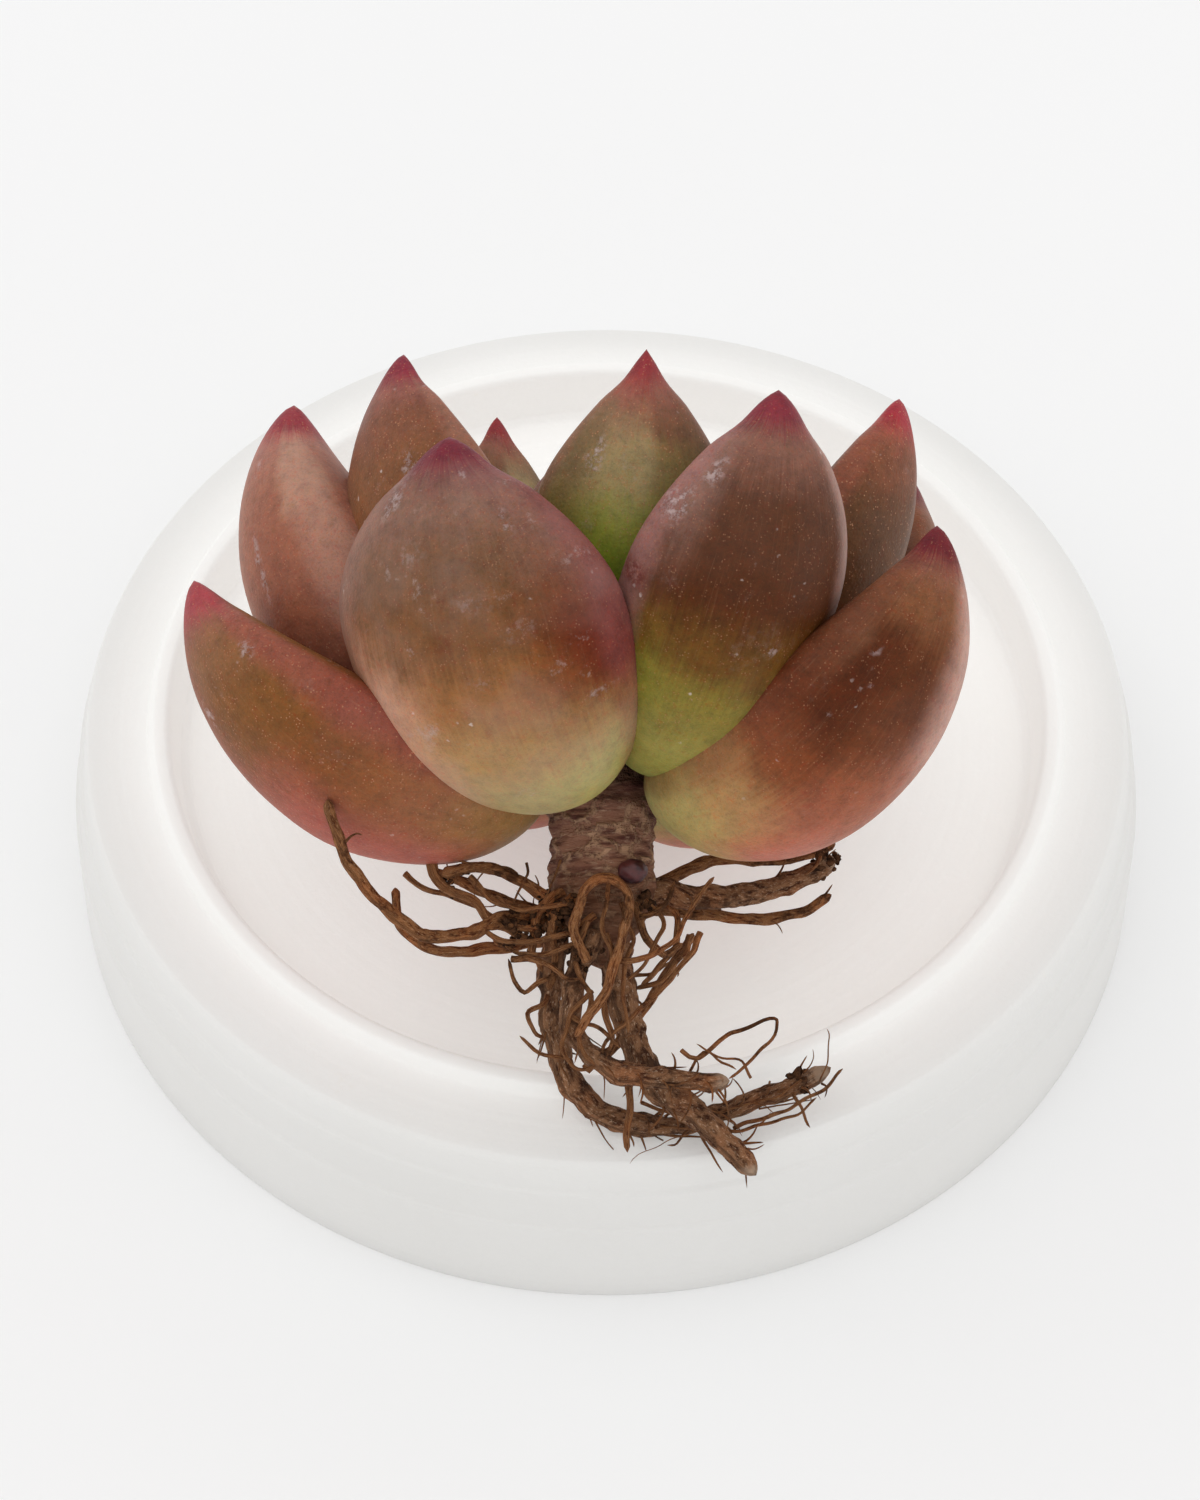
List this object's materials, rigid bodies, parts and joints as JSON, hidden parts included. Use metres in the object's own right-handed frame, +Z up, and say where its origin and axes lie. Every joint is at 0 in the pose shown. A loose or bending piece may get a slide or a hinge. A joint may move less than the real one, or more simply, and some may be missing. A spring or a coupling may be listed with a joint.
{
  "type": "bare-root succulent on a lid",
  "caption": "Rosette succulent with thick pointed leaves, a woody stem and bare dried roots, lying on its side in the recess of a round frosted lid.",
  "frame": {"origin": "centre of the lid's footprint on the surface that it stands on", "axes": "+Z up; -Y is the side that the roots hang towards, and the rosette opens towards +Y and up; +X to the right as seen from the root side"},
  "size_m": [0.1044, 0.1044, 0.0753],
  "materials": {
    "leaf": "waxy leaf skin, green at the base, brown-red above, magenta at the tip",
    "stem_bark": "dry ringed bark",
    "root": "dry fibrous root",
    "frosted_plastic": "milky translucent moulded plastic"
  },
  "bodies": {
    "root": {"frosted_lid": "frosted_plastic", "heart_leaf_back_left": "leaf", "heart_leaf_back_right": "leaf", "heart_leaf_front": "leaf", "heart_leaf_right": "leaf", "inner_leaf_back": "leaf", "inner_leaf_back_left": "leaf", "inner_leaf_front": "leaf", "inner_leaf_front_left": "leaf", "inner_leaf_right": "leaf", "middle_leaf_back": "leaf", "middle_leaf_back_left": "leaf", "middle_leaf_back_right": "leaf", "middle_leaf_front_right": "leaf", "middle_leaf_left": "leaf", "middle_leaf_right": "leaf", "outer_leaf_back_right": "leaf", "outer_leaf_front": "leaf", "outer_leaf_left": "leaf", "outer_leaf_right": "leaf", "outer_leaf_under_left": "leaf", "outer_leaf_under_right": "leaf", "root_back": "root", "root_front": "root", "root_hook": "root", "root_left_back": "root", "root_left_long": "root", "root_left_under": "root", "root_left_upper": "root", "root_loop": "root", "root_right": "root", "root_right_lower": "root", "root_right_upper": "root", "root_tap": "root", "stem": "stem_bark"}
  },
  "joints": []
}
